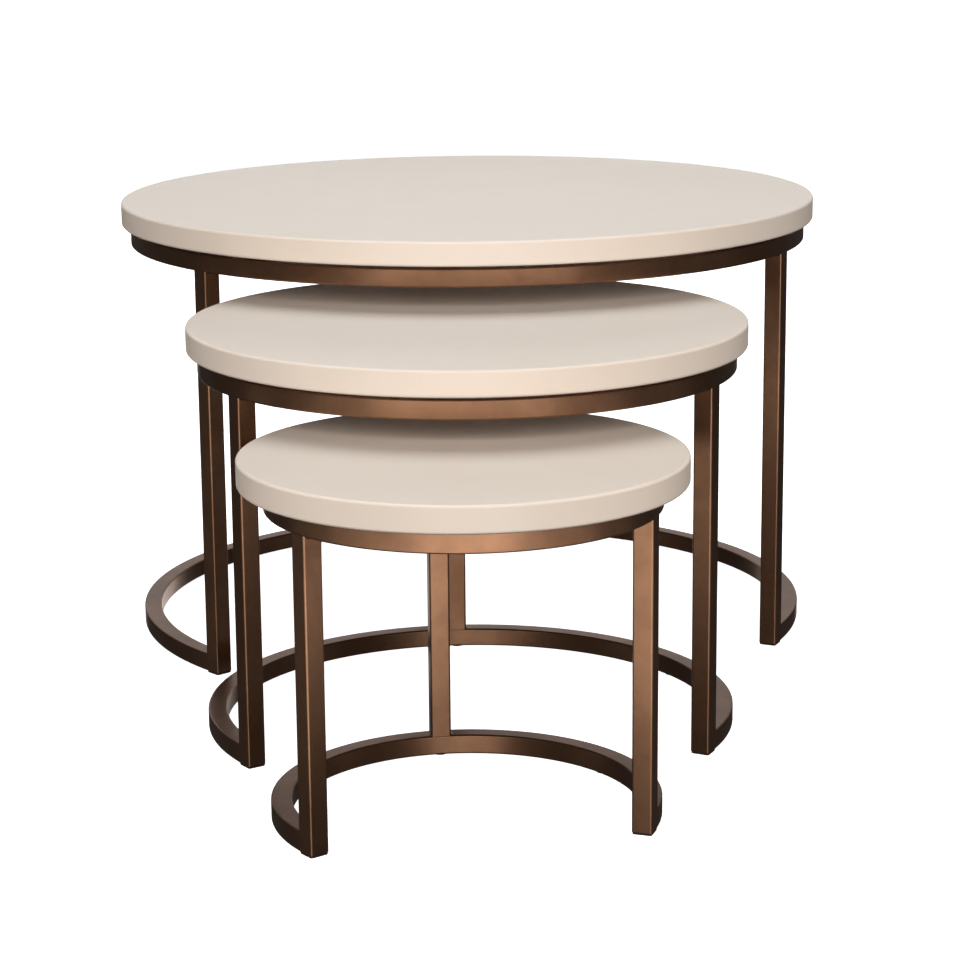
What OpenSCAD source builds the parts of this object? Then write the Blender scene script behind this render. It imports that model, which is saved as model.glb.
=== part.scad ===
// Nesting tables: three free-standing round tables, large, medium and small. Each has a lacquered
// disc on a square-tube frame. The frame is open at the front, so that the next smaller table
// slides in between its front legs.
// Millimetres, +Z up, fronts towards -Y. The origin is on the floor, in the middle of the set.

/* [Large table] */
// Diameter of the large top
large_d = 800; // [660:10:960]
// Height of the large table
large_h = 500; // [410:5:600]
// How far the large top reaches past its frame
large_overhang = 10; // [4:1:40]
// Angle from the front of the large frame to each front leg
large_leg_angle = 56; // [50:1:68]
// Turn of the large table, seen from above
large_turn = 8.5; // [-10:0.5:10]

/* [Medium table] */
// How far the medium top reaches past its frame
medium_overhang = 11; // [4:1:40]
// Angle from the front of the medium frame to each front leg
medium_leg_angle = 59; // [50:1:68]
// Turn of the medium table, seen from above
medium_turn = 3.5; // [-10:0.5:10]
// How far the medium table stands out from between the large table's front legs
medium_pull = 212; // [100:1:400]
// Direction in which the medium table slides in, off straight back
medium_path = 8.6; // [-12:0.1:12]

/* [Small table] */
// How far the small top reaches past its frame
small_overhang = 24; // [4:1:40]
// Angle from the front of the small frame to each front leg
small_leg_angle = 61.5; // [50:0.5:68]
// Turn of the small table, seen from above
small_turn = 9; // [-10:0.5:10]
// How far the small table stands out from between the medium table's front legs
small_pull = 152; // [80:1:300]
// Direction in which the small table slides in, off straight back
small_path = 4.5; // [-12:0.1:12]

/* [Nesting] */
// Gap at each side between a smaller top and the front legs that it passes
nest_clearance = 2; // [1:0.5:10]
// Gap between a smaller top and the underside of the ring above it
head_clearance = 26; // [5:1:40]

/* [Tops] */
// Thickness of every top
top_t = 26; // [18:1:36]
// Rounding of the top's rim, above and below
top_edge_r = 3; // [1:0.5:6]

/* [Tube] */
// Side of the square tube of rings, legs and base arcs
tube = 20; // [16:1:26]
// Wall of the tube
wall = 1.5; // [1:0.25:2.5]
// Outer corner radius of the tube
tube_corner_r = 2; // [1:0.25:3]
// Vent holes inside the welded joints, which let the tube breathe
vent_d = 8; // [4:1:10]

/* [Tabs and screws] */
// Thickness of the tabs, which hold the top clear of the ring
tab_t = 3; // [2:0.5:5]
// Width of a tab
tab_w = 24; // [18:1:34]
// How far a tab's outer end stays back from the ring's outer face
tab_inset = 6; // [3:1:12]
// Distance of the screw from the ring's inner face
screw_in = 14; // [13:1:24]
// Tabs of the large and the medium table
tab_count = 4; // [3:1:8]
// Tabs of the small table
small_tab_count = 3; // [3:1:6]
// Diameter of the wood screws
screw_d = 4; // [3:0.5:6]
// How far a screw goes into the top
screw_depth = 18; // [10:1:24]
// Radial clearance of a screw in its tab
screw_clearance = 0.3; // [0.1:0.1:1]
// Diameter of a screw head
head_d = 8; // [7:0.5:12]
// Height of a screw head
head_t = 2.4; // [2:0.1:4]

/* [Feet] */
// Height by which plugs and glides hold the tube off the floor
glide_t = 1.5; // [1:0.5:4]
// Length of the part of a plug that sits in the leg
plug_l = 14; // [8:1:30]
// Gap round a plug in its leg
plug_clearance = 0.1; // [0.05:0.05:0.5]
// How far a plug's head stays back from the leg's faces
plug_inset = 0.5; // [0:0.25:2]
// Diameter of a glide's head, under a base arc
glide_d = 14; // [8:1:16]
// Diameter of a glide's stem
stem_d = 6; // [4:0.5:7]
// Length of a glide's stem
stem_l = 8; // [5:1:14]
// Radial clearance of a glide's stem in the base arc
stem_clearance = 0.1; // [0.05:0.05:0.3]

/* [Hidden] */
$fn = 96;
EPS = 1;                    // how far a cutting tool runs past what it cuts
CROSS_W = 1.2;              // cross recess of a screw head: width of a slot
CROSS_L = 4.6;              // length of a slot
CROSS_DEPTH = 1.4;          // depth of both slots
SCREW_TIP = 5;              // length of a screw's point
PILOT_SPARE = 1;            // spare depth of a pilot hole past the screw's point
CREAM = [0.90, 0.85, 0.79];
BRONZE = [0.36, 0.25, 0.18];
ZINC = [0.72, 0.72, 0.74];
BLACK = [0.10, 0.09, 0.09];

// A table is [top radius, frame radius, height, leg angle, turn, tabs, x, y], made in two steps,
// because each smaller table is sized and placed by the front legs of the larger one.
function top_r(t) = t[0];
function frame_r(t) = t[1];
function height(t) = t[2];
function leg_angle(t) = t[3];
function turn(t) = t[4];
function tab_number(t) = t[5];
function centre(t) = [t[6], t[7]];

// Heights, from the floor
function top_z(t) = height(t) - top_t;
function tab_z(t) = top_z(t) - tab_t;
function ring_z(t) = tab_z(t) - tube;

// The front legs' inner edges, which the smaller top passes: half the gap between them, and how
// far in front of the table's centre they stand
function gap_half(t) = (frame_r(t) - tube) * sin(leg_angle(t)) - tube / 2 * cos(leg_angle(t));
function gap_front(t) = (frame_r(t) - tube) * cos(leg_angle(t)) + tube / 2 * sin(leg_angle(t));
function gap_middle(t) = centre(t) + gap_front(t) * [sin(turn(t)), -cos(turn(t))];

// A smaller table fits the gap of table t when it slides along path, and stands out by pull
function nested_top_r(t, path) = gap_half(t) * cos(turn(t) + path) - nest_clearance;
function nested_height(t) = ring_z(t) - head_clearance;
function pulled_centre(t, path, pull) = gap_middle(t) - pull * [sin(path), cos(path)];
function smaller(t, path, pull, overhang, angle, turned, tabs) =
    let (r = nested_top_r(t, path), c = pulled_centre(t, path, pull))
    [r, r - overhang, nested_height(t), angle, turned, tabs, c[0], c[1]];

large_at_zero = [large_d / 2, large_d / 2 - large_overhang, large_h,
    large_leg_angle, large_turn, tab_count, 0, 0];
medium_at_zero = smaller(large_at_zero, medium_path, medium_pull,
    medium_overhang, medium_leg_angle, medium_turn, tab_count);
small_at_zero = smaller(medium_at_zero, small_path, small_pull,
    small_overhang, small_leg_angle, small_turn, small_tab_count);

// The origin moves to the middle of the set
set_of_three = [large_at_zero, medium_at_zero, small_at_zero];
function middle(axis) = (max([for (t = set_of_three) centre(t)[axis] + top_r(t)])
    + min([for (t = set_of_three) centre(t)[axis] - top_r(t)])) / 2;
function to_origin(t) = [for (i = [0:7]) i < 6 ? t[i] : t[i] - middle(i - 6)];
large = to_origin(large_at_zero);
medium = to_origin(medium_at_zero);
small = to_origin(small_at_zero);

// Puts a table's piece in its place: pieces are drawn about the table's own axis, front at -Y
module place(t) {
    translate([centre(t)[0], centre(t)[1], 0])
        rotate([0, 0, turn(t)])
            children();
}

// Puts a piece at an angle from the front, on the middle line of the tube
module on_frame(t, angle) {
    rotate([0, 0, angle])
        translate([0, -(frame_r(t) - tube / 2), 0])
            children();
}

// Square with rounded corners, centred
module rounded_square(side, r) {
    square([side, side - 2 * r], center = true);
    square([side - 2 * r, side], center = true);
    for (x = [-1, 1], y = [-1, 1])
        translate([x, y] * (side / 2 - r))
            circle(r);
}

// Cross-section of the tube
module tube_section() {
    difference() {
        rounded_square(tube, tube_corner_r);
        square(tube - 2 * wall, center = true);
    }
}

// Tube bent to the frame's radius, from angle start through sweep, lying at height z
module bent_tube(t, z, start, sweep) {
    translate([0, 0, z + tube / 2])
        rotate([0, 0, start])
            rotate_extrude(angle = sweep)
                translate([frame_r(t) - tube / 2, 0])
                    tube_section();
}

// Round top with a softly rounded rim, and a blind pilot hole over each tab
module top(t) {
    color(CREAM) place(t) difference() {
        translate([0, 0, top_z(t)])
            rotate_extrude()
                rim_outline(top_r(t));
        for (angle = tab_angles(t))
            at_screw(t, angle)
                translate([0, 0, top_z(t) - EPS])
                    cylinder(d = screw_d, h = EPS + screw_depth + PILOT_SPARE);
    }
}

// Half of the top's cross-section
module rim_outline(r) {
    square([r - top_edge_r, top_t]);
    translate([0, top_edge_r])
        square([r, top_t - 2 * top_edge_r]);
    for (z = [top_edge_r, top_t - top_edge_r])
        translate([r - top_edge_r, z])
            circle(top_edge_r);
}

// Closed ring of bent tube under the top, with a vent hole over each leg
module ring(t) {
    color(BRONZE) place(t) difference() {
        bent_tube(t, ring_z(t), 0, 360);
        for (angle = [-leg_angle(t), leg_angle(t), 180])
            on_frame(t, angle)
                translate([0, 0, ring_z(t) - EPS])
                    cylinder(d = vent_d, h = EPS + wall + EPS);
    }
}

// Front leg, from its foot plug up to the ring. side is -1 for the left leg and 1 for the right.
// The base arc is welded to the side that looks away from the front, over a vent hole.
module front_leg(t, side) {
    color(BRONZE) place(t) on_frame(t, side * leg_angle(t)) difference() {
        translate([0, 0, glide_t])
            linear_extrude(ring_z(t) - glide_t)
                tube_section();
        translate([side * (tube / 2 - wall - EPS), 0, glide_t + tube / 2])
            rotate([0, side * 90, 0])
                cylinder(d = vent_d, h = EPS + wall + EPS);
    }
}

// Back leg, standing on the base arc
module back_leg(t) {
    color(BRONZE) place(t) on_frame(t, 180)
        translate([0, 0, glide_t + tube])
            linear_extrude(ring_z(t) - glide_t - tube)
                tube_section();
}

// C-shaped base arc, round the back from one front leg to the other. Its ends are cut flat
// against the legs' sides.
module base_arc(t) {
    color(BRONZE) place(t) difference() {
        bent_tube(t, glide_t, leg_angle(t) - 90, 360 - 2 * leg_angle(t));
        for (side = [-1, 1])
            on_frame(t, side * leg_angle(t))
                translate([-tube / 2, -tube, glide_t - EPS])
                    cube([tube, 2 * tube, tube + 2 * EPS]);
        on_frame(t, 180)
            translate([0, 0, glide_t + tube - wall - EPS])
                cylinder(d = vent_d, h = EPS + wall + EPS);
        for (angle = glide_angles(t))
            on_frame(t, angle)
                translate([0, 0, glide_t - EPS])
                    cylinder(r = stem_d / 2 + stem_clearance, h = EPS + wall + EPS);
    }
}

// Angles of the glides: under the back leg, and halfway from it to each front leg
function glide_angles(t) = [for (side = [-1, 0, 1]) 180 + side * (180 - leg_angle(t)) / 2];

// Angles of the tabs, evenly spaced, none at the very front
function tab_angles(t) = [for (i = [0:tab_number(t) - 1]) (i + 0.5) * 360 / tab_number(t)];

// Puts a screw or its hole in place, inside the ring
module at_screw(t, angle) {
    rotate([0, 0, angle])
        translate([0, -(frame_r(t) - tube - screw_in), 0])
            children();
}

// Flat tabs welded on the ring, each with a round nose and a screw hole
module tabs(t) {
    color(BRONZE) place(t)
        for (angle = tab_angles(t))
            at_screw(t, angle)
                translate([0, 0, tab_z(t)])
                    linear_extrude(tab_t)
                        difference() {
                            union() {
                                circle(d = tab_w);
                                translate([-tab_w / 2, -(screw_in + tube - tab_inset)])
                                    square([tab_w, screw_in + tube - tab_inset]);
                            }
                            circle(r = screw_d / 2 + screw_clearance);
                        }
}

// Wood screws, driven up through the tabs into the top
module screws(t) {
    color(ZINC) place(t)
        for (angle = tab_angles(t))
            at_screw(t, angle)
                translate([0, 0, tab_z(t)])
                    screw(tab_t + screw_depth);
}

// One screw: its head hangs below z = 0, and its shank reaches up to l
module screw(l) {
    difference() {
        translate([0, 0, -head_t])
            cylinder(d = head_d, h = head_t);
        for (a = [0, 90])
            rotate([0, 0, a])
                translate([-CROSS_L / 2, -CROSS_W / 2, -head_t - EPS])
                    cube([CROSS_L, CROSS_W, EPS + CROSS_DEPTH]);
    }
    cylinder(d = screw_d, h = l - SCREW_TIP);
    translate([0, 0, l - SCREW_TIP])
        cylinder(d1 = screw_d, d2 = 0.4, h = SCREW_TIP);
}

// Square plugs that close the front legs and stand on the floor
module foot_plugs(t) {
    color(BLACK) place(t)
        for (side = [-1, 1])
            on_frame(t, side * leg_angle(t)) {
                linear_extrude(glide_t)
                    rounded_square(tube - 2 * plug_inset, tube_corner_r);
                translate([0, 0, glide_t])
                    linear_extrude(plug_l)
                        square(tube - 2 * wall - 2 * plug_clearance, center = true);
            }
}

// Round glides pressed into the underside of the base arc
module glides(t) {
    color(BLACK) place(t)
        for (angle = glide_angles(t))
            on_frame(t, angle) {
                cylinder(d = glide_d, h = glide_t);
                cylinder(d = stem_d, h = glide_t + stem_l);
            }
}

top(large);  // large_top
ring(large);  // large_ring
front_leg(large, -1);  // large_leg_left
front_leg(large, 1);  // large_leg_right
back_leg(large);  // large_leg_back
base_arc(large);  // large_base_arc
tabs(large);  // large_tabs
screws(large);  // large_screws
foot_plugs(large);  // large_foot_plugs
glides(large);  // large_glides
top(medium);  // medium_top
ring(medium);  // medium_ring
front_leg(medium, -1);  // medium_leg_left
front_leg(medium, 1);  // medium_leg_right
back_leg(medium);  // medium_leg_back
base_arc(medium);  // medium_base_arc
tabs(medium);  // medium_tabs
screws(medium);  // medium_screws
foot_plugs(medium);  // medium_foot_plugs
glides(medium);  // medium_glides
top(small);  // small_top
ring(small);  // small_ring
front_leg(small, -1);  // small_leg_left
front_leg(small, 1);  // small_leg_right
back_leg(small);  // small_leg_back
base_arc(small);  // small_base_arc
tabs(small);  // small_tabs
screws(small);  // small_screws
foot_plugs(small);  // small_foot_plugs
glides(small);  // small_glides
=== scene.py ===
# %% [markdown]
# # Nesting tables
# Three round tables that slide in under one another. Each is a cream lacquered board on a frame
# of square bronze tube. The moving model is already there, as a frame of plain solids with the
# right sizes and joints. This lesson gives it its finished surfaces, and nothing in it moves or
# resizes the frame.

# %% Load the frame
import math
import random

import bmesh
import bpy
from mathutils import Matrix, Vector


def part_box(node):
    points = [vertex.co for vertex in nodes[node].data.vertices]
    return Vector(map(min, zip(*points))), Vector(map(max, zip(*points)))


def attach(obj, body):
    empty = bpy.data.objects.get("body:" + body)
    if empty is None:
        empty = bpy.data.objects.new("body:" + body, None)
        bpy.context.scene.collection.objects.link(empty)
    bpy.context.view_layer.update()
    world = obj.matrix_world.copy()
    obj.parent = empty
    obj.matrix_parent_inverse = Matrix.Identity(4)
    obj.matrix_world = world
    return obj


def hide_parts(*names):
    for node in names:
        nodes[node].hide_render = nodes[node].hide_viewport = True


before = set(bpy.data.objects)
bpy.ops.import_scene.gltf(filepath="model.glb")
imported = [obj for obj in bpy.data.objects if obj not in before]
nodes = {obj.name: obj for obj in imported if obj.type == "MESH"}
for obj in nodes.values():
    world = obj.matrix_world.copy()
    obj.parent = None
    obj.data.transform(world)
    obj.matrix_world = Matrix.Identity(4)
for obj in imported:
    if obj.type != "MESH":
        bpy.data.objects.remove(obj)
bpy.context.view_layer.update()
MM = 0.001
print("nodes in the frame:", len(nodes))

# %% [markdown]
# ## Reading the sizes
# All sizes come from the frame, so that the finished pieces land exactly on the plain ones. A
# table's axis is the middle of its top. A leg's place is the middle of its box, which also says
# how far the table is turned. Screws, plugs and glides share a node for each table, so their
# corners are sorted into groups that lie close together. The numbers could be typed in instead,
# but then a new size in the frame would leave the finished pieces behind.

# %% Measure the tables
TABLE_NAMES = ("large", "medium", "small")
LEG_NAMES = ("leg_left", "leg_right", "leg_back")
GROUP_REACH = 45 * MM        # corners nearer than this, seen from above, are one solid's


def places(node):
    """Middle of each separate solid in a node, as [x, y]."""
    groups = []
    for vertex in nodes[node].data.vertices:
        point = vertex.co.xy
        for group in groups:
            if (point - group[0]).length < GROUP_REACH:
                group.append(point)
                break
        else:
            groups.append([point.copy()])
    middles = []
    for group in groups:
        xs = [p.x for p in group]
        ys = [p.y for p in group]
        middles.append(Vector(((min(xs) + max(xs)) / 2, (min(ys) + max(ys)) / 2)))
    return middles


def measure(name):
    """The sizes of one table, in metres and radians. Angles turn from +X, seen from above."""
    top_low, top_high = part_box(f"{name}_top")
    ring_low, ring_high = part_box(f"{name}_ring")
    arc_low, arc_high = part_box(f"{name}_base_arc")
    axis = ((top_low + top_high) / 2).xy
    table = {
        "axis": axis,
        "top_r": (top_high.x - top_low.x) / 2,
        "top_low": top_low.z,
        "top_high": top_high.z,
        "ring_r": (ring_high.x - ring_low.x) / 2,
        "ring_low": ring_low.z,
        "tube": ring_high.z - ring_low.z,
        "arc_low": arc_low.z,
        "arc_high": arc_high.z,
        "legs": {},
    }
    for leg in LEG_NAMES:
        low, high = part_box(f"{name}_{leg}")
        from_axis = ((low + high) / 2).xy - axis
        table["legs"][leg] = math.atan2(from_axis.y, from_axis.x)
    return table


tables = {name: measure(name) for name in TABLE_NAMES}
for name, table in tables.items():
    print(name, "top radius", round(table["top_r"] / MM, 1), "mm, ring radius",
          round(table["ring_r"] / MM, 1), "mm, tube", round(table["tube"] / MM, 1), "mm")

# %% [markdown]
# ## Making objects
# Everything here ends as an object in the scene. One helper adds it under its name. The other takes
# a shape that was built face by face, turns its faces outward, shades it smoothly up to a chosen
# crease and adds that. Blender's menu commands could do the same, but they work on whatever is
# selected, and a script is safer when it names the object that it means.

# %% Object helpers
def add_object(name, data):
    """Puts a mesh, light or camera into the scene under a name."""
    item = bpy.data.objects.new(name, data)
    bpy.context.scene.collection.objects.link(item)
    return item


def built(name, shape, material=None, crease=None):
    """Turns a finished bmesh into an object, smooth up to the crease angle in degrees."""
    bmesh.ops.recalc_face_normals(shape, faces=shape.faces)
    for face in shape.faces:
        face.smooth = True
    mesh = bpy.data.meshes.new(name)
    shape.to_mesh(mesh)
    shape.free()
    if material:
        mesh.materials.append(material)
    if crease:
        mesh.set_sharp_from_angle(angle=math.radians(crease))
    return add_object(name, mesh)


print("object helpers ready")

# %% [markdown]
# ## The camera
# A long lens from about three metres, a little above the tops and tilted down, shows each top as
# a slim ellipse and keeps the legs nearly parallel. The camera is turned by its tilt first and
# then by a slight roll, because a real tripod is never quite level.

# %% Camera
CAMERA_PLACE = (0.012, -2.885, 0.891)
CAMERA_TILT = math.radians(13.13)
CAMERA_ROLL = math.radians(-0.53)
LENS = 101.55                # focal length and film width, in millimetres
FILM_WIDTH = 36

camera = add_object("camera", bpy.data.cameras.new("camera"))
camera.data.lens = LENS
camera.data.sensor_width = FILM_WIDTH
camera.matrix_world = (
    Matrix.Translation(CAMERA_PLACE)
    @ Matrix.Rotation(math.pi / 2 - CAMERA_TILT, 4, "X")
    @ Matrix.Rotation(CAMERA_ROLL, 4, "Z")
)
bpy.context.scene.camera = camera
print("camera", CAMERA_PLACE, "lens", LENS, "mm")

# %% [markdown]
# ## Adding nodes
# Materials and Geometry Nodes are both trees of nodes. One helper adds a node to either: it sets
# the node's own settings first, because some of them change which sockets there are, and then
# gives each socket a value or a link. `Number` wraps a socket that carries a number, so that
# shader maths can be written the way it is said: `1 - mask * 0.3` adds its Math nodes by itself.
# The nodes could be added one at a time, but a finish would then take a page instead of ten lines.

# %% Node helpers
def add_node(tree, kind, settings=None, sockets=None):
    """Adds a node to a tree. Sockets are given by name or number, as values or as links."""
    node = tree.nodes.new(kind)
    for key, value in (settings or {}).items():
        setattr(node, key, value)
    for key, value in (sockets or {}).items():
        if isinstance(value, Number):
            value = value.socket
        if isinstance(value, bpy.types.NodeSocket):
            tree.links.new(value, node.inputs[key])
        else:
            node.inputs[key].default_value = value
    return node


class Number:
    """A socket that carries a number, for use in sums."""

    def __init__(self, socket):
        self.socket = socket

    def math(self, operation, first, second):
        tree = self.socket.id_data
        node = add_node(tree, "ShaderNodeMath", {"operation": operation}, {0: first, 1: second})
        return Number(node.outputs[0])

    def __add__(self, other):
        return self.math("ADD", self, other)

    def __radd__(self, other):
        return self.math("ADD", other, self)

    def __sub__(self, other):
        return self.math("SUBTRACT", self, other)

    def __rsub__(self, other):
        return self.math("SUBTRACT", other, self)

    def __mul__(self, other):
        return self.math("MULTIPLY", self, other)

    def __rmul__(self, other):
        return self.math("MULTIPLY", other, self)


class Finish:
    """A material that is being built around one Principled shader."""

    def __init__(self, name):
        self.material = bpy.data.materials.new(name)
        self.material.use_nodes = True
        self.tree = self.material.node_tree
        self.shader = self.tree.nodes["Principled BSDF"]
        self.place = self.node("ShaderNodeTexCoord").outputs["Object"]

    def node(self, kind, settings=None, sockets=None):
        return add_node(self.tree, kind, settings, sockets)

    def noise(self, size, detail=2.0, roughness=0.5):
        """Cloudy noise from 0 to 1, with lumps about size metres across."""
        sockets = {"Vector": self.place, "Scale": 1 / size, "Detail": detail,
                   "Roughness": roughness}
        return Number(self.node("ShaderNodeTexNoise", None, sockets).outputs["Fac"])

    def cells(self, size):
        """Distance from the nearest of many scattered points, for specks and flakes."""
        sockets = {"Vector": self.place, "Scale": 1 / size}
        return Number(self.node("ShaderNodeTexVoronoi", None, sockets).outputs["Distance"])

    def spread(self, number, low, high):
        """Stretches the part of a number between low and high to run from 0 to 1, smoothly."""
        node = self.node("ShaderNodeMapRange", {"interpolation_type": "SMOOTHSTEP"},
                         {"Value": number, "From Min": low, "From Max": high})
        return Number(node.outputs["Result"])

    def mix(self, amount, first, second):
        """Blends two colours, or a colour and a link that carries one."""
        node = self.node("ShaderNodeMix", {"data_type": "RGBA"},
                         {0: amount, 6: first, 7: second})
        return node.outputs[2]

    def bump(self, height, distance, normal=None):
        """A bumpy normal from a height that runs from 0 to 1, distance metres deep."""
        sockets = {"Height": height, "Distance": distance, "Strength": 1.0}
        if normal is not None:
            sockets["Normal"] = normal
        return self.node("ShaderNodeBump", None, sockets).outputs["Normal"]

    def set(self, **sockets):
        """Gives the shader's sockets their values or links, with _ for a space in a name."""
        for key, value in sockets.items():
            socket = self.shader.inputs[key.replace("_", " ")]
            if isinstance(value, Number):
                value = value.socket
            if isinstance(value, bpy.types.NodeSocket):
                self.tree.links.new(value, socket)
            else:
                socket.default_value = value
        return self.material


print("node helpers ready")

# %% [markdown]
# ## Cream lacquer
# The tops are boards sprayed with several coats of cream satin lacquer. A sprayed coat is never
# a single flat colour: it is a touch warmer where it lies thicker, and it carries a faint,
# pebbled "orange peel" a few millimetres across that breaks up reflections. So the colour drifts
# slowly over the whole table, the roughness a little faster, and two fine bumps make the peel.
# A thin clear coat gives the soft line of light along the rim. A picture of real lacquer would
# also work, but it needs unwrapping and shows seams. Noise in the object's own coordinates has
# neither problem, and its lumps keep the same size on all three tables.

# %% Cream lacquer
CREAM = (0.720, 0.630, 0.562, 1)
CREAM_WARM = (0.705, 0.608, 0.532, 1)
CREAM_SPECK = (0.60, 0.53, 0.46, 1)


def cream_lacquer():
    finish = Finish("cream_lacquer")
    drift = finish.noise(350 * MM, detail=3)
    clouds = finish.noise(45 * MM, detail=4, roughness=0.6)
    warmth = finish.spread(drift * 0.7 + clouds * 0.3, 0.35, 0.65)
    base = finish.mix(warmth, CREAM, CREAM_WARM)
    specks = 1 - finish.spread(finish.cells(11 * MM), 0.02, 0.07)
    rare = finish.spread(finish.noise(20 * MM, detail=0), 0.62, 0.70)
    colour = finish.mix(specks * rare * 0.35, base, CREAM_SPECK)
    peel = finish.noise(2.8 * MM, detail=1)
    ripple = finish.noise(12 * MM, detail=1)
    normal = finish.bump(peel, 0.03 * MM, finish.bump(ripple, 0.06 * MM))
    return finish.set(
        Base_Color=colour,
        Roughness=0.44 + clouds * 0.10,
        IOR=1.45,
        Coat_Weight=0.12,
        Coat_Roughness=0.22,
        Normal=normal,
    )


lacquer = cream_lacquer()
print("made", lacquer.name)

# %% [markdown]
# ## Bronze tube
# The frames are steel tube with a satin bronze metallic coating: a dark brown base full of fine
# metal flakes under a clear film. It reads as metal, so the shader is mostly metallic, with a
# roughness that wanders a little where the spray lay wetter or drier, and the film has its own
# fine peel. A brown paint shader would be simpler, but paint looks much the same from every side.
# Metal takes its brightness from what it mirrors, and that is what gives these tubes their dark
# sides and glowing fronts. The flakes are Voronoi cells, just under a millimetre apart.

# %% Bronze coating
BRONZE = (0.300, 0.158, 0.091, 1)
BRONZE_DEEP = (0.225, 0.116, 0.067, 1)
BRONZE_FLAKE = (0.400, 0.235, 0.145, 1)


def bronze_coating():
    finish = Finish("bronze_coating")
    drift = finish.noise(160 * MM, detail=3)
    patches = finish.noise(30 * MM, detail=4, roughness=0.65)
    depth = finish.spread(drift * 0.6 + patches * 0.4, 0.35, 0.65)
    base = finish.mix(depth, BRONZE, BRONZE_DEEP)
    flakes = 1 - finish.spread(finish.cells(0.9 * MM), 0.05, 0.30)
    colour = finish.mix(flakes * 0.35, base, BRONZE_FLAKE)
    peel = finish.noise(1.6 * MM, detail=1)
    ripple = finish.noise(8 * MM, detail=1)
    normal = finish.bump(peel, 0.025 * MM, finish.bump(ripple, 0.04 * MM))
    return finish.set(
        Base_Color=colour,
        Metallic=0.95,
        Roughness=0.26 + patches * 0.12,
        Coat_Weight=0.10,
        Coat_Roughness=0.25,
        Normal=normal,
    )


bronze = bronze_coating()
print("made", bronze.name)

# %% [markdown]
# ## Small materials
# The screws are zinc plated steel: grey metal with the faint yellow and blue bloom of its
# passivation. The plugs and glides are black moulded plastic, slightly grained, and scuffed
# paler where they have been pushed over a floor. They are small and mostly hidden, so one cloudy
# noise and one fine grain are enough for each.

# %% Zinc and black plastic
ZINC = (0.52, 0.52, 0.53, 1)
ZINC_BLOOM = (0.56, 0.52, 0.42, 1)
BLACK = (0.022, 0.019, 0.017, 1)
SCUFFED = (0.075, 0.070, 0.065, 1)


def zinc_plate():
    finish = Finish("zinc_plate")
    bloom = finish.spread(finish.noise(4 * MM, detail=2), 0.4, 0.65)
    grain = finish.noise(0.6 * MM, detail=1)
    return finish.set(
        Base_Color=finish.mix(bloom, ZINC, ZINC_BLOOM),
        Metallic=1.0,
        Roughness=0.30 + grain * 0.15,
        Normal=finish.bump(grain, 0.01 * MM),
    )


def black_plastic():
    finish = Finish("black_plastic")
    scuffs = finish.spread(finish.noise(3 * MM, detail=4, roughness=0.7), 0.55, 0.75)
    grain = finish.noise(0.7 * MM, detail=1)
    return finish.set(
        Base_Color=finish.mix(scuffs * 0.6, BLACK, SCUFFED),
        Roughness=0.50 + scuffs * 0.25,
        Normal=finish.bump(grain, 0.02 * MM),
    )


zinc = zinc_plate()
plastic = black_plastic()
print("made", zinc.name, "and", plastic.name)

# %% [markdown]
# ## Growing pieces with Geometry Nodes
# A frame is the same square tube again and again: bent to a closed ring, bent to an open arc, or
# left straight. That is one rule, so Geometry Nodes sweep one rounded square along each path.
# The sizes are named inputs. `grow` hangs a tree on an object and sets the inputs. `settle` turns
# the result into a plain mesh, so that no modifier is left on the finished piece. A weighted
# normal keeps the flat sides of the tube flat to the eye, right up to the round corner.
# Each tube could be modelled by hand, but there are fifteen, and two trees make them all.

# %% Tree and piece helpers
class Recipe:
    """A Geometry Nodes tree with named inputs."""

    def __init__(self, name, inputs):
        self.tree = bpy.data.node_groups.new(name, "GeometryNodeTree")
        self.identifiers = {}
        for label, kind in inputs.items():
            item = self.tree.interface.new_socket(label, in_out="INPUT", socket_type=kind)
            self.identifiers[label] = item.identifier
        self.tree.interface.new_socket("Geometry", in_out="OUTPUT",
                                       socket_type="NodeSocketGeometry")
        self.given = self.node("NodeGroupInput").outputs

    def node(self, kind, settings=None, sockets=None):
        return add_node(self.tree, kind, settings, sockets)

    def maths(self, operation, first, second):
        """One Math node on two numbers."""
        sockets = {0: first, 1: second}
        return self.node("ShaderNodeMath", {"operation": operation}, sockets).outputs[0]

    def finish(self, geometry):
        """Ends the tree: real geometry, with its material."""
        real = self.node("GeometryNodeRealizeInstances", None, {"Geometry": geometry})
        coated = self.node("GeometryNodeSetMaterial", None,
                           {"Geometry": real.outputs[0], "Material": self.given["Material"]})
        self.node("NodeGroupOutput", None, {0: coated.outputs[0]})


BEVEL_STEPS = 3
BEVEL_ANGLE = math.radians(60)   # corners sharper than this are rounded


def settle(piece, bevel=0.0):
    """Returns a plain copy of a piece, with its modifiers and a rounded edge worked in."""
    if bevel:
        rounding = piece.modifiers.new("edge", "BEVEL")
        rounding.width = bevel
        rounding.segments = BEVEL_STEPS
        rounding.limit_method = "ANGLE"
        rounding.angle_limit = BEVEL_ANGLE
    weighted = piece.modifiers.new("flat sides", "WEIGHTED_NORMAL")
    weighted.keep_sharp = True
    bpy.context.view_layer.update()
    evaluated = piece.evaluated_get(bpy.context.evaluated_depsgraph_get())
    mesh = bpy.data.meshes.new_from_object(evaluated)
    name = piece.name
    old_mesh = piece.data
    bpy.data.objects.remove(piece)
    bpy.data.meshes.remove(old_mesh)
    mesh.name = name
    return add_object(name, mesh)


def grow(piece, recipe, bevel=0.0, **values):
    """Lets a recipe work on an object. Its inputs are given by name, with _ for a space."""
    modifier = piece.modifiers.new("recipe", "NODES")
    modifier.node_group = recipe.tree
    for key, value in values.items():
        modifier[recipe.identifiers[key.replace("_", " ")]] = value
    return settle(piece, bevel)


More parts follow.
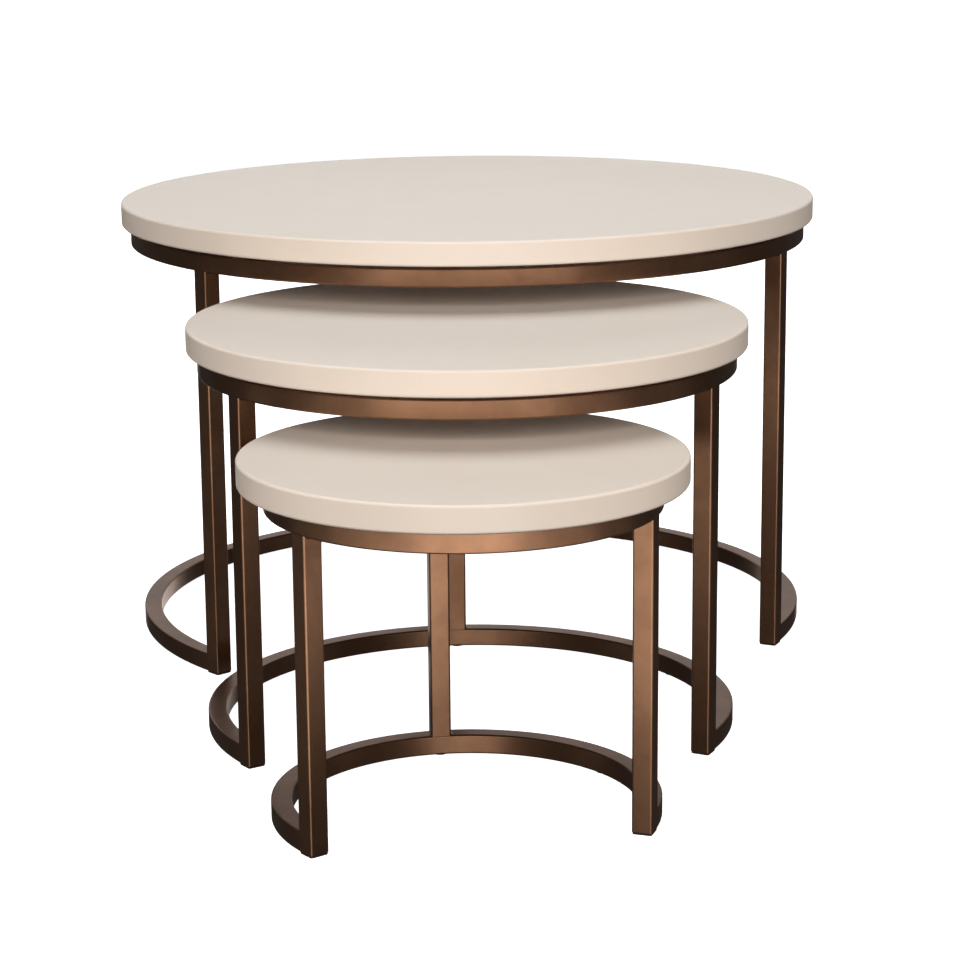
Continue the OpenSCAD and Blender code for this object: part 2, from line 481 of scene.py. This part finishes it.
def empty(name):
    """An object with nothing in it yet, for a recipe that makes everything itself."""
    return add_object(name, bpy.data.meshes.new(name))


def hand_over(piece, table_name, slot, *cad_nodes):
    """The piece moves with its table and stands for the CAD nodes. The slot, a finish's name, is
    not used.
    """
    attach(piece, table_name)
    if cad_nodes:
        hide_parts(*cad_nodes)
    print(piece.name, len(piece.data.polygons), "faces")


print("piece helpers ready")

# %% [markdown]
# ## The tube recipes
# A rounded square is a Quadrilateral with its corners filleted. The bent recipe sweeps it along
# an arc, and joins the arc's ends where the ring is closed. The straight recipe sweeps it up a
# line and then turns it about the table's axis to its own angle. Rolling a tube in a workshop is
# the same act as sweeping its outline along a path, so the section stays true all the way round.

# %% Bent and straight tube
CORNER_R = 2.0 * MM          # outer corner of the tube
CORNER_STEPS = 5
TUBE_INPUTS = {
    "Side": "NodeSocketFloat",
    "Radius": "NodeSocketFloat",
    "Low": "NodeSocketFloat",
    "High": "NodeSocketFloat",
    "Start": "NodeSocketFloat",
    "Sweep": "NodeSocketFloat",
    "Steps": "NodeSocketInt",
    "Closed": "NodeSocketBool",
    "Axis": "NodeSocketVector",
    "Material": "NodeSocketMaterial",
}


def rounded_square(recipe):
    """Links for the outline of the tube."""
    square = recipe.node("GeometryNodeCurvePrimitiveQuadrilateral", None,
                         {"Width": recipe.given["Side"], "Height": recipe.given["Side"]})
    fillet = recipe.node("GeometryNodeFilletCurve", {"mode": "POLY"},
                         {"Curve": square.outputs[0], "Count": CORNER_STEPS,
                          "Radius": CORNER_R})
    return fillet.outputs[0]


def swept(recipe, path):
    """Sweeps the outline along a path, smooth shaded."""
    body = recipe.node("GeometryNodeCurveToMesh", None,
                       {"Curve": path, "Profile Curve": rounded_square(recipe),
                        "Fill Caps": True})
    smooth = recipe.node("GeometryNodeSetShadeSmooth", None, {"Geometry": body.outputs[0]})
    return smooth.outputs[0]


def bent_tube_recipe():
    recipe = Recipe("bent tube", TUBE_INPUTS)
    given = recipe.given
    half = recipe.maths("MULTIPLY", given["Side"], 0.5)
    arc = recipe.node("GeometryNodeCurveArc", None,
                      {"Resolution": given["Steps"],
                       "Radius": recipe.maths("SUBTRACT", given["Radius"], half),
                       "Start Angle": given["Start"], "Sweep Angle": given["Sweep"]})
    path = recipe.node("GeometryNodeSetSplineCyclic", None,
                       {"Geometry": arc.outputs[0], "Cyclic": given["Closed"]})
    height = recipe.node("ShaderNodeCombineXYZ", None,
                         {"Z": recipe.maths("ADD", given["Low"], half)})
    place = recipe.node("ShaderNodeVectorMath", {"operation": "ADD"},
                        {0: height.outputs[0], 1: given["Axis"]})
    moved = recipe.node("GeometryNodeTransform", None,
                        {"Geometry": swept(recipe, path.outputs[0]),
                         "Translation": place.outputs[0]})
    recipe.finish(moved.outputs[0])
    return recipe


def straight_tube_recipe():
    recipe = Recipe("straight tube", TUBE_INPUTS)
    given = recipe.given
    low = recipe.node("ShaderNodeCombineXYZ", None, {"Z": given["Low"]})
    high = recipe.node("ShaderNodeCombineXYZ", None, {"Z": given["High"]})
    line = recipe.node("GeometryNodeCurvePrimitiveLine", None,
                       {"Start": low.outputs[0], "End": high.outputs[0]})
    half = recipe.maths("MULTIPLY", given["Side"], 0.5)
    out = recipe.node("ShaderNodeCombineXYZ", None,
                      {"X": recipe.maths("SUBTRACT", given["Radius"], half)})
    placed = recipe.node("GeometryNodeTransform", None,
                         {"Geometry": swept(recipe, line.outputs[0]),
                          "Translation": out.outputs[0]})
    turn = recipe.node("ShaderNodeCombineXYZ", None, {"Z": given["Start"]})
    turned = recipe.node("GeometryNodeTransform", None,
                         {"Geometry": placed.outputs[0], "Rotation": turn.outputs[0],
                          "Translation": given["Axis"]})
    recipe.finish(turned.outputs[0])
    return recipe


bent_tube = bent_tube_recipe()
straight_tube = straight_tube_recipe()
print("recipes:", bent_tube.tree.name, "and", straight_tube.tree.name)

# %% [markdown]
# ## Rings, base arcs and legs
# The ring is closed, so its last step joins its first. The base arc runs from the right front
# leg round the back to the left one, and enters each leg a little way: the joints were welded,
# ground flush and coated over, so that no gap shows at the leg's round corners. For the same
# reason each leg reaches up a little into the ring's lower corners.

# %% Frames
RING_STEPS = 288
GROUND_FLUSH = 2.0 * MM      # how far a leg reaches into the ring's rounded lower edge
CUT_EDGE = 1.2 * MM          # rounded edge at the cut end of a leg
ARC_SHORT = 6.0 * MM         # how far inside a front leg's face the base arc ends


def table_axis(table):
    return (table["axis"].x, table["axis"].y, 0.0)


def make_ring(name, table):
    piece = grow(empty(f"{name}_ring_tube"), bent_tube, Side=table["tube"], Radius=table["ring_r"],
                 Low=table["ring_low"], Start=0.0, Sweep=math.tau * (1 - 1 / RING_STEPS),
                 Steps=RING_STEPS, Closed=True, Axis=table_axis(table), Material=bronze)
    hand_over(piece, name, "bronze", f"{name}_ring")


def make_base_arc(name, table):
    centre_r = table["ring_r"] - table["tube"] / 2
    into_leg = math.asin((table["tube"] / 2 - ARC_SHORT) / centre_r)
    start = table["legs"]["leg_right"] + into_leg
    sweep = (table["legs"]["leg_left"] - into_leg - start) % math.tau
    piece = grow(empty(f"{name}_base_arc_tube"), bent_tube, Side=table["tube"],
                 Radius=table["ring_r"], Low=table["arc_low"], Start=start, Sweep=sweep,
                 Steps=int(RING_STEPS * sweep / math.tau), Closed=False,
                 Axis=table_axis(table), Material=bronze)
    hand_over(piece, name, "bronze", f"{name}_base_arc")


def make_leg(name, table, leg):
    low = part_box(f"{name}_{leg}")[0].z
    if leg == "leg_back":
        low -= GROUND_FLUSH
    piece = grow(empty(f"{name}_{leg}_tube"), straight_tube, CUT_EDGE, Side=table["tube"],
                 Radius=table["ring_r"], Low=low, High=table["ring_low"] + GROUND_FLUSH,
                 Start=table["legs"][leg], Axis=table_axis(table), Material=bronze)
    hand_over(piece, name, "bronze", f"{name}_{leg}")


for table_name in TABLE_NAMES:
    make_ring(table_name, tables[table_name])
    make_base_arc(table_name, tables[table_name])
    for leg_name in LEG_NAMES:
        make_leg(table_name, tables[table_name], leg_name)

# %% [markdown]
# ## Turned shapes
# Boards, screws, glides and even the studio floor are turned shapes: one outline, spun about an
# upright axis. The outline is given as points of radius and height. A Screw modifier could spin
# it too. Building the faces directly leaves nothing to apply, and a point on the axis becomes a
# single corner instead of a ring of them in one place.

# %% Turned pieces
def turned(name, outline, steps, middle, material, crease=None):
    """Spins (radius, height) points about an upright line. Radius 0 gives one corner on it."""
    shape = bmesh.new()
    x, y = middle

    def circle(radius, height):
        if radius == 0:
            return [shape.verts.new((x, y, height))]
        return [shape.verts.new((x + radius * math.cos(math.tau * i / steps),
                                 y + radius * math.sin(math.tau * i / steps), height))
                for i in range(steps)]

    circles = [circle(*point) for point in outline]
    for upper, lower in zip(circles, circles[1:]):
        for i in range(steps):
            j = (i + 1) % steps
            if len(upper) == 1:
                shape.faces.new((upper[0], lower[i], lower[j]))
            elif len(lower) == 1:
                shape.faces.new((upper[j], upper[i], lower[0]))
            else:
                shape.faces.new((upper[i], lower[i], lower[j], upper[j]))
    return built(name, shape, material, crease)


print("turning helper ready")

# %% [markdown]
# ## The tops
# A top is a thick board, cut round and sanded to a soft rolled rim, then sprayed all over. Its
# outline runs from the middle of the upper face, round both rolled edges, to the middle of the
# lower face. A cylinder with a bevel would come close, but its flat faces would shade as if they
# were slightly domed. Extra circles just inside the rolled edges keep them flat.

# %% Lacquered tops
TOP_STEPS = 320
SUPPORT = 0.6 * MM           # distance of the extra circles from a rolled edge
RIM_R = 3.0 * MM             # rolled edge of a top
RIM_STEPS = 8


def rolled_edge(radius, height, corner, first):
    """Points round a corner, whose centre is (radius, height), from angle first down 90 degrees."""
    angles = [first - math.pi / 2 * i / RIM_STEPS for i in range(RIM_STEPS + 1)]
    return [(radius + corner * math.cos(a), height + corner * math.sin(a)) for a in angles]


def make_top(name, table):
    radius, low, high = table["top_r"], table["top_low"], table["top_high"]
    inner = radius - RIM_R
    flat = [(0, high), (inner / 2, high), (inner - SUPPORT, high)]
    upper = rolled_edge(inner, high - RIM_R, RIM_R, math.pi / 2)
    lower = rolled_edge(inner, low + RIM_R, RIM_R, 0.0)
    side = [(radius, high - RIM_R - SUPPORT), (radius, low + RIM_R + SUPPORT)]
    under = [(inner - SUPPORT, low), (inner / 2, low), (0, low)]
    piece = turned(f"{name}_top_board", flat + upper + side + lower + under, TOP_STEPS,
                   table["axis"], lacquer)
    hand_over(piece, name, "lacquer", f"{name}_top")


for table_name in TABLE_NAMES:
    make_top(table_name, tables[table_name])

# %% [markdown]
# ## Setting out small parts
# Screws, plugs, glides and weld beads are each one shape, used again at every place where the
# frame needs it. So each shape is modelled once at the origin, and a Geometry Nodes tree sets it
# out on points. A point carries its own turn as a vector of three angles, which is how a bead can
# hang upside down under a ring while another lies on a base arc.

# %% Setting-out recipe
def set_out_recipe():
    recipe = Recipe("set out", {"Points": "NodeSocketGeometry", "Shape": "NodeSocketObject",
                                "Material": "NodeSocketMaterial"})
    shape = recipe.node("GeometryNodeObjectInfo", None, {"Object": recipe.given["Shape"]})
    turn = recipe.node("GeometryNodeInputNamedAttribute", {"data_type": "FLOAT_VECTOR"},
                       {"Name": "turn"})
    rotation = recipe.node("FunctionNodeEulerToRotation", None, {0: turn.outputs[0]})
    copies = recipe.node("GeometryNodeInstanceOnPoints", None,
                         {"Points": recipe.given["Points"],
                          "Instance": shape.outputs["Geometry"],
                          "Rotation": rotation.outputs[0]})
    recipe.finish(copies.outputs[0])
    return recipe


set_out_tree = set_out_recipe()


def set_out(name, shape, spots, material):
    """Puts a copy of a shape at each spot, and drops the shape. A spot is a point and 3 angles."""
    mesh = bpy.data.meshes.new(name)
    mesh.from_pydata([point for point, _ in spots], [], [])
    turns = mesh.attributes.new("turn", "FLOAT_VECTOR", "POINT")
    for item, (_, angles) in zip(turns.data, spots):
        item.vector = angles
    piece = grow(add_object(name, mesh), set_out_tree, Shape=shape, Material=material)
    remove_shape(shape)
    return piece


def remove_shape(shape):
    """Takes a helper shape out of the scene."""
    mesh = shape.data
    bpy.data.objects.remove(shape)
    bpy.data.meshes.remove(mesh)


print("recipe:", set_out_tree.tree.name)

# %% [markdown]
# ## Screws
# Each top is held by pan head wood screws that come up through the tabs. The head is domed, with
# a cross recess for the driver. The outline is turned like a top's, with small ridges for the
# thread, and the recess is cut by a cross-shaped cutter with a Boolean. A real thread climbs in a
# spiral, but it sits inside the board, where level ridges can't be told from it. Each screw
# stopped at its own angle, so a seeded random number turns it.

# %% Screw
SCREW_STEPS = 32
HEAD_R = 4.0 * MM
HEAD_T = 2.4 * MM
SHANK_R = 2.0 * MM
CORE_R = 1.5 * MM
PITCH = 1.8 * MM
THREAD_START = 4.0 * MM
POINT_L = 4.0 * MM
RECESS_REACH = 2.1 * MM
RECESS_W = 0.9 * MM
RECESS_DEEP = 1.4 * MM
RECESS_TAPER = 0.6           # width at the bottom of the recess over its width at the top
HEAD_RIM = 0.1 * MM
DOME_STEPS = 8
DOME_SHARE = 0.65            # how much of the head's height is dome
CREASE = 40                  # edges sharper than this, in degrees, stay sharp on small parts


def screw_outline(length):
    """Radius and height from the middle of the dome up to the point, with the seat at 0."""
    angles = [math.pi / 2 * i / DOME_STEPS for i in range(DOME_STEPS + 1)]
    dome = [(HEAD_R * math.sin(a), -HEAD_T * (1 - DOME_SHARE + DOME_SHARE * math.cos(a)))
            for a in angles]
    outline = dome + [(HEAD_R, -HEAD_RIM), (HEAD_R - HEAD_RIM, 0), (SHANK_R, 0),
                      (SHANK_R, THREAD_START)]
    height = THREAD_START
    while height < length - POINT_L - PITCH:
        outline += [(CORE_R, height + 0.3 * PITCH), (CORE_R, height + 0.7 * PITCH),
                    (SHANK_R, height + PITCH)]
        height += PITCH
    return outline + [(CORE_R, height + 0.3 * PITCH), (CORE_R, length - POINT_L), (0, length)]


def cross_cutter():
    """An upright cross-shaped bar that narrows towards the bottom of the recess."""
    half = RECESS_W / 2
    reach = RECESS_REACH
    corners = [(half, half), (half, reach), (-half, reach), (-half, half), (-reach, half),
               (-reach, -half), (-half, -half), (-half, -reach), (half, -reach), (half, -half),
               (reach, -half), (reach, half)]
    shape = bmesh.new()
    low = [shape.verts.new((x, y, -2 * HEAD_T)) for x, y in corners]
    tip = -HEAD_T + RECESS_DEEP
    high = [shape.verts.new((x * RECESS_TAPER, y * RECESS_TAPER, tip)) for x, y in corners]
    shape.faces.new(low)
    shape.faces.new(list(reversed(high)))
    for i in range(len(corners)):
        j = (i + 1) % len(corners)
        shape.faces.new((low[j], low[i], high[i], high[j]))
    return built("cross cutter", shape)


def screw_shape(length):
    screw = turned("screw shape", screw_outline(length), SCREW_STEPS, (0, 0), zinc)
    cutter = cross_cutter()
    recess = screw.modifiers.new("recess", "BOOLEAN")
    recess.operation = "DIFFERENCE"
    recess.solver = "EXACT"
    recess.object = cutter
    bpy.context.view_layer.update()
    evaluated = screw.evaluated_get(bpy.context.evaluated_depsgraph_get())
    cut = add_object("screw", bpy.data.meshes.new_from_object(evaluated))
    for edge in cut.data.edges:
        edge.use_edge_sharp = False
    cut.data.set_sharp_from_angle(angle=math.radians(CREASE))
    remove_shape(screw)
    remove_shape(cutter)
    return cut


def make_screws(name, rng):
    low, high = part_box(f"{name}_screws")
    seat = low.z + HEAD_T
    shape = screw_shape(high.z - seat)
    spots = [((p.x, p.y, seat), (0, 0, rng.uniform(0, math.tau)))
             for p in places(f"{name}_screws")]
    piece = set_out(f"{name}_screw_set", shape, spots, zinc)
    hand_over(piece, name, "screw_zinc", f"{name}_screws")


screw_turns = random.Random(7)
for table_name in TABLE_NAMES:
    make_screws(table_name, screw_turns)

# %% [markdown]
# ## Foot plugs
# A plug closes the square end of each front leg: a thin moulded cap, with a ribbed stub that grips
# the inside of the tube. It could be a beveled block with ribs joined on, but joined blocks leave
# faces inside. One stack of rounded squares, wide at each rib, is closed by itself.

# %% Foot plugs
PLUG_INSET = 0.5 * MM        # the cap stays back this far from the leg's faces
STUB_SIDE = 16.8 * MM
STUB_CORE = 15.6 * MM
CAP_EDGE = 0.5 * MM
RIBS = 4
SQUARE_STEPS = 4
STUB_CORNER = 0.8 * MM
STUB_LEAD = 1.0 * MM         # how much narrower the stub's end is


def stacked_squares(name, levels, material):
    """Joins rounded squares into one closed shape. A level is side, corner radius and height."""
    shape = bmesh.new()
    rows = []
    for side, corner, height in levels:
        row = []
        for quarter in range(4):
            for i in range(SQUARE_STEPS + 1):
                angle = math.pi / 2 * (quarter + i / SQUARE_STEPS)
                middle = math.pi / 4 + math.pi / 2 * quarter
                out = (side / 2 - corner) * math.sqrt(2)
                row.append(shape.verts.new((out * math.cos(middle) + corner * math.cos(angle),
                                            out * math.sin(middle) + corner * math.sin(angle),
                                            height)))
        rows.append(row)
    for lower, upper in zip(rows, rows[1:]):
        for i in range(len(lower)):
            j = (i + 1) % len(lower)
            shape.faces.new((lower[i], lower[j], upper[j], upper[i]))
    shape.faces.new(list(reversed(rows[0])))
    shape.faces.new(rows[-1])
    return built(name, shape, material, CREASE)


def plug_shape(table, cap_top, stub_top):
    """A cap and its ribbed stub, from height 0 up. The shares are of one rib's height."""
    side = table["tube"] - 2 * PLUG_INSET
    edge = CAP_EDGE
    levels = [(side - 2 * edge, CORNER_R - edge, 0),
              (side - 0.6 * edge, CORNER_R - 0.3 * edge, 0.3 * edge),
              (side, CORNER_R, edge),
              (side, CORNER_R, cap_top),
              (STUB_CORE, STUB_CORNER, cap_top + 0.01 * MM)]
    rib = (stub_top - cap_top) / (RIBS + 1)
    for i in range(RIBS):
        middle = cap_top + rib * (i + 0.8)
        for width, share in ((STUB_CORE, -0.25), (STUB_SIDE, -0.10), (STUB_SIDE, 0.05),
                             (STUB_CORE, 0.30)):
            levels.append((width, STUB_CORNER, middle + share * rib))
    levels.append((STUB_CORE - STUB_LEAD, 0.5 * MM, stub_top))
    return stacked_squares("plug shape", levels, plastic)


def at_frame(table, angle, height):
    """A point on the middle line of the tube, at an angle from the table's axis."""
    reach = table["ring_r"] - table["tube"] / 2
    return (table["axis"].x + reach * math.cos(angle), table["axis"].y + reach * math.sin(angle),
            height)


def make_plugs(name, table):
    low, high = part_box(f"{name}_foot_plugs")
    shape = plug_shape(table, table["arc_low"] - low.z, high.z - low.z)
    spots = [(at_frame(table, table["legs"][leg], low.z), (0, 0, table["legs"][leg]))
             for leg in ("leg_left", "leg_right")]
    piece = set_out(f"{name}_foot_plug_set", shape, spots, plastic)
    hand_over(piece, name, "black_plastic", f"{name}_foot_plugs")


for table_name in TABLE_NAMES:
    make_plugs(table_name, tables[table_name])

# %% [markdown]
# ## Glides
# A glide is a small plastic mushroom, pressed into a hole under the base arc so that the steel
# doesn't scratch the floor. It is round, so it is turned like the tops, with a soft rim below and
# a narrowed tip that finds its hole.

# %% Glides
GLIDE_R = 7.0 * MM
STEM_R = 3.0 * MM
GLIDE_RIM = 0.5 * MM
GLIDE_STEPS = 40
GLIDE_RIM_STEPS = 4
STEM_TIP = (0.6 * MM, 0.8 * MM)  # how far the stem's end is narrowed, and over what height


def glide_outline(cap_top, stem_top):
    inner = GLIDE_R - GLIDE_RIM
    angles = [math.pi / 2 * i / GLIDE_RIM_STEPS for i in range(GLIDE_RIM_STEPS + 1)]
    rim = [(inner + GLIDE_RIM * math.sin(a), GLIDE_RIM * (1 - math.cos(a))) for a in angles]
    narrowed, tip = STEM_TIP
    return ([(0, 0), (inner * 0.6, 0)] + rim
            + [(GLIDE_R, cap_top), (STEM_R, cap_top), (STEM_R, stem_top - tip),
               (STEM_R - narrowed, stem_top), (0, stem_top)])


def make_glides(name, table):
    low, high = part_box(f"{name}_glides")
    outline = glide_outline(table["arc_low"] - low.z, high.z - low.z)
    shape = turned("glide shape", outline, GLIDE_STEPS, (0, 0), plastic, CREASE)
    spots = [((p.x, p.y, low.z), (0, 0, 0)) for p in places(f"{name}_glides")]
    piece = set_out(f"{name}_glide_set", shape, spots, plastic)
    hand_over(piece, name, "black_plastic", f"{name}_glides")


for table_name in TABLE_NAMES:
    make_glides(table_name, tables[table_name])

# %% [markdown]
# ## Tabs
# The tabs are flat plates, cut out and then deburred. They could be drawn anew, but their shape
# is already right, holes and all. So a copy of the plain node is cleaned up and gets a small round
# on its edges, which catches the light as a real sheared and sanded edge does.

# %% Tabs
TAB_EDGE = 0.4 * MM
SAME_POINT = 0.001 * MM
SAME_PLANE = math.radians(1)


def make_tabs(name):
    shape = bmesh.new()
    shape.from_mesh(nodes[f"{name}_tabs"].data)
    bmesh.ops.remove_doubles(shape, verts=shape.verts, dist=SAME_POINT)
    bmesh.ops.dissolve_limit(shape, angle_limit=SAME_PLANE, verts=shape.verts,
                             edges=shape.edges)
    piece = settle(built(f"{name}_tab_set", shape, bronze), TAB_EDGE)
    hand_over(piece, name, "bronze", f"{name}_tabs")


for table_name in TABLE_NAMES:
    make_tabs(table_name)

# %% [markdown]
# ## Weld beads
# Where two tubes meet flush, the weld is ground flat and disappears under the coating. It stays
# only in the inside corners: on both sides of each leg under the ring, on both sides of the back
# leg on the base arc, and where the arc runs into the front legs. A bead is a hollow fillet whose
# size ripples a little, from the way that it was laid down. A bump in the bronze could hint at
# it, but a fillet changes the outline of the corner, so it has to be real geometry.

# %% Weld beads
BEAD_R = 2.6 * MM
BEAD_SINK = 0.25 * MM        # how far a bead is let into the tubes
BEAD_STEPS = 36
BEAD_CURVE = 6
RIPPLES = 9
RIPPLE_SHARE = 0.05          # height of a ripple over the bead's radius
END_SHARE = 0.35             # radius at the bead's ends, which fade in over a fifth of its length
BEAD_CREASE = 50


def bead_shape(length):
    """A fillet along X, in the corner between the planes Y = 0 and Z = 0."""
    shape = bmesh.new()
    rows = []
    for i in range(BEAD_STEPS + 1):
        along = i / BEAD_STEPS
        fade = min(1, 5 * along + END_SHARE, 5 * (1 - along) + END_SHARE)
        radius = BEAD_R * fade * (1 + RIPPLE_SHARE * math.sin(math.tau * RIPPLES * along))
        x = length * (along - 0.5)
        row = [shape.verts.new((x, -BEAD_SINK, -BEAD_SINK)),
               shape.verts.new((x, radius, -BEAD_SINK))]
        for k in range(BEAD_CURVE + 1):
            angle = math.pi / 2 * k / BEAD_CURVE
            row.append(shape.verts.new((x, radius * (1 - math.sin(angle)),
                                        radius * (1 - math.cos(angle)))))
        row.append(shape.verts.new((x, -BEAD_SINK, radius)))
        rows.append(row)
    for first, second in zip(rows, rows[1:]):
        for i in range(len(first)):
            j = (i + 1) % len(first)
            shape.faces.new((first[i], first[j], second[j], second[i]))
    shape.faces.new(rows[0])
    shape.faces.new(list(reversed(rows[-1])))
    return built("bead shape", shape, bronze, BEAD_CREASE)


def bead_spot(table, leg, side, height, hanging):
    """A bead beside a leg. side is 1 or -1, and a hanging bead lies under the height."""
    angle = table["legs"][leg]
    away = angle + side * math.pi / 2
    x, y, z = at_frame(table, angle, height)
    half = table["tube"] / 2
    point = (x + half * math.cos(away), y + half * math.sin(away), z)
    return point, (0, math.pi if hanging else 0, away - math.pi / 2)


def make_beads(name, table):
    spots = []
    for leg in LEG_NAMES:
        for side in (-1, 1):
            spots.append(bead_spot(table, leg, side, table["ring_low"], True))
    for side in (-1, 1):
        spots.append(bead_spot(table, "leg_back", side, table["arc_high"], False))
    spots.append(bead_spot(table, "leg_right", 1, table["arc_high"], False))
    spots.append(bead_spot(table, "leg_left", -1, table["arc_high"], False))
    shape = bead_shape(table["tube"] - 2 * CORNER_R)
    piece = set_out(f"{name}_weld_beads", shape, spots, bronze)
    hand_over(piece, name, "bronze")


for table_name in TABLE_NAMES:
    make_beads(table_name, tables[table_name])

# %% [markdown]
# ## Floor
# The set stands on a plain pale floor that sweeps up into a pale wall all round, so that no edge
# shows from any side. It is one more turned shape. A flat sheet would be simpler, but it ends in
# a horizon. The paper glows, as it does when it has lamps of its own, and throws no light back.

# %% Floor and backdrop
FLOOR_R = 8.5
SWEEP_R = 2.5
SWEEP_STEPS = 12
WALL_TOP = 9.0
STUDIO_STEPS = 96
FLOOR_GLOW = 1.0


def pale_floor():
    finish = Finish("pale_floor")
    clouds = finish.noise(0.8, detail=2)
    return finish.set(
        Base_Color=finish.mix(clouds, (0.93, 0.93, 0.93, 1), (0.95, 0.95, 0.95, 1)),
        Roughness=0.8,
        Emission_Color=(1.0, 1.0, 1.0, 1),
        Emission_Strength=FLOOR_GLOW,
    )


def make_floor():
    angles = [math.pi / 2 * i / SWEEP_STEPS for i in range(SWEEP_STEPS + 1)]
    sweep = [(FLOOR_R + SWEEP_R * math.sin(a), SWEEP_R * (1 - math.cos(a))) for a in angles]
    outline = [(0, 0), (FLOOR_R / 2, 0)] + sweep + [(FLOOR_R + SWEEP_R, WALL_TOP)]
    floor = turned("floor", outline, STUDIO_STEPS, (0, 0), pale_floor())
    floor.visible_glossy = False
    floor.visible_diffuse = False
    floor.visible_shadow = False


make_floor()
print("floor made")

# %% [markdown]
# ## Lights
# Metal shows what is around it, so the bronze gets white cards that only a reflection sees: low
# ones all round, one flat on the floor in front, a wide one in front that ends below the tops and
# a high one behind. What lies between them stays dark, which gives the tubes their contrast. A
# soft light above shows the tops, and fills all round light their edges. A fill leaves no
# reflection, so a low view from the back finds no glare on the lacquer. One bright sky could light
# it all, but it would wash out the dark sides of the tubes and the shadows under the tops.

# %% Lights
def soft_panel(name, place, target, width, height, power, colour=(1, 1, 1)):
    """A rectangular soft light that faces a point."""
    data = bpy.data.lights.new(name, "AREA")
    data.shape = "RECTANGLE"
    data.size = width
    data.size_y = height
    data.energy = power
    data.color = colour
    light = add_object(name, data)
    light.visible_camera = False
    light.location = place
    aim = Vector(target) - Vector(place)
    light.rotation_euler = aim.to_track_quat("-Z", "Y").to_euler()
    return light


def reflection_card(*card):
    """A panel that only shows in reflections."""
    soft_panel(*card).visible_diffuse = False


def fill(*panel):
    """A panel that lights the set and shows in no reflection."""
    soft_panel(*panel).visible_glossy = False


SET_MIDDLE = (0.0, -0.1, 0.25)
WARM = (1.0, 0.96, 0.90)
COOL = (0.90, 0.97, 1.0)
soft_panel("overhead", (0.0, 0.35, 2.6), (0.0, 0.2, 0.4), 2.4, 1.6, 43, COOL)
fill("fill_front", (0.0, -3.2, 1.8), SET_MIDDLE, 1.8, 1.4, 81, WARM)
fill("fill_left", (-3.0, -1.6, 1.0), SET_MIDDLE, 1.2, 1.2, 40, WARM)
fill("fill_right", (3.0, -1.6, 1.0), SET_MIDDLE, 1.2, 1.2, 43, WARM)
fill("fill_behind", (0.0, 4.2, 1.6), SET_MIDDLE, 2.0, 1.4, 45)
reflection_card("behind", (0.0, 4.0, 1.2), (0.0, 0.0, 0.4), 6.0, 2.2, 20)
reflection_card("on_floor", (0.0, -1.65, 0.004), (0.0, -1.65, 1.0), 3.2, 1.7, 17, WARM)
reflection_card("level_front", (0.0, -3.4, 0.05), (0.0, 0.0, 0.4), 4.4, 0.6, 24, WARM)
reflection_card("low_front", (0.0, -2.6, -0.55), (0.0, -0.3, 0.1), 2.0, 0.8, 6, WARM)
reflection_card("low_behind", (0.0, 3.0, -0.5), (0.0, 0.3, 0.1), 2.4, 0.9, 8, WARM)
reflection_card("low_left", (-3.2, -0.3, -0.5), (0.0, -0.1, 0.1), 1.6, 0.9, 0.8, WARM)
reflection_card("low_right", (3.2, -0.3, -0.5), (0.0, -0.1, 0.1), 1.6, 0.9, 0.8, WARM)

DIM_ROOM = 0.04
world = bpy.data.worlds.new("studio")
world.use_nodes = True
background = world.node_tree.nodes["Background"]
background.inputs["Color"].default_value = (1.0, 1.0, 1.0, 1)
background.inputs["Strength"].default_value = DIM_ROOM
bpy.context.scene.world = world
bpy.context.scene.view_settings.view_transform = "Standard"
